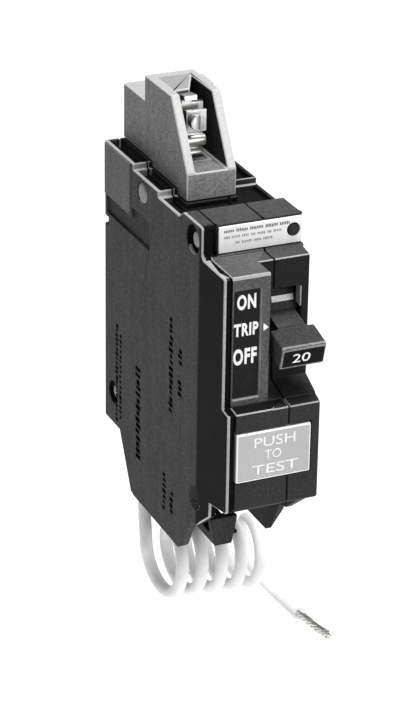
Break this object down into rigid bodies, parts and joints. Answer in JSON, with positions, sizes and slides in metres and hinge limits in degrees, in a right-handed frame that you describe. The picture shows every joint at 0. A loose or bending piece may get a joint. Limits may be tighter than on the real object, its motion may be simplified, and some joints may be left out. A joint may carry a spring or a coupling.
{
  "type": "ground fault circuit breaker",
  "caption": "Plug-in one-pole ground-fault circuit breaker with toggle handle, trip window, test button, wire lugs and a coiled white neutral pigtail.",
  "frame": {"origin": "middle of the flat back face of the case, halfway across its width and halfway up the back face", "axes": "+X is to the right of someone facing the breaker, -Y is the front with the handle, +Z is the line end with the light grey terminal housing"},
  "size_m": [0.0336, 0.0764, 0.1354],
  "materials": {
    "case_black": "moulded thermoset, fine satin grain",
    "housing_grey": "moulded thermoset, matte, light grey",
    "label_white": "printed plastic film, satin",
    "button_grey": "moulded plastic, matte",
    "handle_black": "moulded thermoset, satin",
    "zinc_steel": "zinc plated steel",
    "tinned_copper": "tin plated copper",
    "copper": "bare copper",
    "contact_silver": "silver alloy",
    "fibre": "vulcanised fibre",
    "board_green": "solder-masked glass epoxy",
    "ferrite": "coated ferrite",
    "chip_black": "epoxy",
    "varistor_blue": "epoxy dipped",
    "winding": "enamelled copper wire",
    "insulation_white": "smooth white PVC insulation"
  },
  "bodies": {
    "case": {"left_cover": "case_black", "centre_case": "case_black", "right_case": "case_black", "line_housing": "housing_grey", "line_strap": "tinned_copper", "fixed_contact": "contact_silver", "label_plate": "label_white", "label_plug": "case_black", "window_panel": "case_black", "test_spring": "zinc_steel", "test_contact": "tinned_copper", "case_rivet_1": "zinc_steel", "case_rivet_2": "zinc_steel", "case_rivet_3": "zinc_steel", "case_rivet_4": "zinc_steel", "handle_pin": "zinc_steel", "arm_pin": "zinc_steel", "cradle_pin": "zinc_steel", "magnet_yoke": "zinc_steel", "bimetal": "copper", "calibration_screw": "zinc_steel", "load_strap": "copper", "braid": "copper", "arc_frame": "fibre", "arc_plate_1": "zinc_steel", "arc_plate_2": "zinc_steel", "arc_plate_3": "zinc_steel", "arc_plate_4": "zinc_steel", "circuit_board": "board_green", "sensing_core": "ferrite", "capacitor": "chip_black", "varistor": "varistor_blue", "sensing_chip": "chip_black", "test_resistor": "varistor_blue", "solenoid": "winding", "plunger_spring": "zinc_steel", "neutral_jumper": "insulation_white", "neutral_lug": "tinned_copper", "load_lug": "tinned_copper", "pigtail_bushing": "case_black", "pigtail_lead": "insulation_white", "pigtail_coil": "insulation_white", "pigtail_tail": "insulation_white", "pigtail_strands": "tinned_copper"},
    "handle": {"handle": "handle_black"},
    "contact_arm": {"contact_arm": "copper", "moving_contact": "contact_silver", "toggle_spring": "zinc_steel"},
    "cradle": {"cradle": "zinc_steel"},
    "armature": {"armature": "zinc_steel"},
    "plunger": {"plunger": "zinc_steel"},
    "test_button": {"test_button": "button_grey"},
    "line_clamp": {"line_clamp": "zinc_steel"},
    "line_screw": {"line_screw": "zinc_steel"},
    "load_clamp": {"load_clamp": "zinc_steel"},
    "load_screw": {"load_screw": "zinc_steel"},
    "neutral_clamp": {"neutral_clamp": "zinc_steel"},
    "neutral_screw": {"neutral_screw": "zinc_steel"}
  },
  "joints": [
    {"name": "handle_swing", "type": "hinge", "parent": "case", "child": "handle", "pos_m": [0, -0.0555, 0.0143], "axis": [-1, 0, 0], "range_deg": [0, 35]},
    {"name": "contact_arm_swing", "type": "hinge", "parent": "case", "child": "contact_arm", "pos_m": [0, -0.0475, 0.0058], "axis": [1, 0, 0], "range_deg": [0, 14]},
    {"name": "cradle_swing", "type": "hinge", "parent": "case", "child": "cradle", "pos_m": [0, -0.044, 0.0233], "axis": [-1, 0, 0], "range_deg": [0, 8]},
    {"name": "plunger_pull", "type": "slide", "parent": "case", "child": "plunger", "axis": [0, 1, 0], "range_m": [0, 0.0012], "stiffness_N_per_m": 150, "springref_m": -0.001},
    {"name": "armature_tip", "type": "hinge", "parent": "case", "child": "armature", "pos_m": [0, -0.0409, -0.0057], "axis": [1, 0, 0], "range_deg": [0, 4]},
    {"name": "test_press", "type": "slide", "parent": "case", "child": "test_button", "axis": [0, 1, 0], "range_m": [0, 0.0012], "stiffness_N_per_m": 300, "springref_m": -0.001},
    {"name": "line_clamp_travel", "type": "slide", "parent": "case", "child": "line_clamp", "axis": [0, -1, 0], "range_m": [0, 0.0014]},
    {"name": "line_screw_turn", "type": "hinge", "parent": "line_clamp", "child": "line_screw", "pos_m": [-0.0025, -0.03, 0.0514], "axis": [0, -1, 0], "range_deg": [0, 720]},
    {"name": "load_clamp_travel", "type": "slide", "parent": "case", "child": "load_clamp", "axis": [0, 0.866, 0.5], "range_m": [0, 0.0012]},
    {"name": "load_screw_turn", "type": "hinge", "parent": "load_clamp", "child": "load_screw", "pos_m": [0.0052, -0.053, -0.0289], "axis": [0, 0.866, 0.5], "range_deg": [0, 720]},
    {"name": "neutral_clamp_travel", "type": "slide", "parent": "case", "child": "neutral_clamp", "axis": [0, 0.866, 0.5], "range_m": [0, 0.0012]},
    {"name": "neutral_screw_turn", "type": "hinge", "parent": "neutral_clamp", "child": "neutral_screw", "pos_m": [-0.0062, -0.053, -0.0289], "axis": [0, 0.866, 0.5], "range_deg": [0, 720]}
  ],
  "couplings": [
    {"joint": "contact_arm_swing", "follows": "handle_swing", "ratio": 0.4},
    {"joint": "armature_tip", "follows": "plunger_pull", "rad_per_m": 58},
    {"joint": "line_screw_turn", "follows": "line_clamp_travel", "rad_per_m": 8967},
    {"joint": "load_screw_turn", "follows": "load_clamp_travel", "rad_per_m": 10462},
    {"joint": "neutral_screw_turn", "follows": "neutral_clamp_travel", "rad_per_m": 10462}
  ]
}
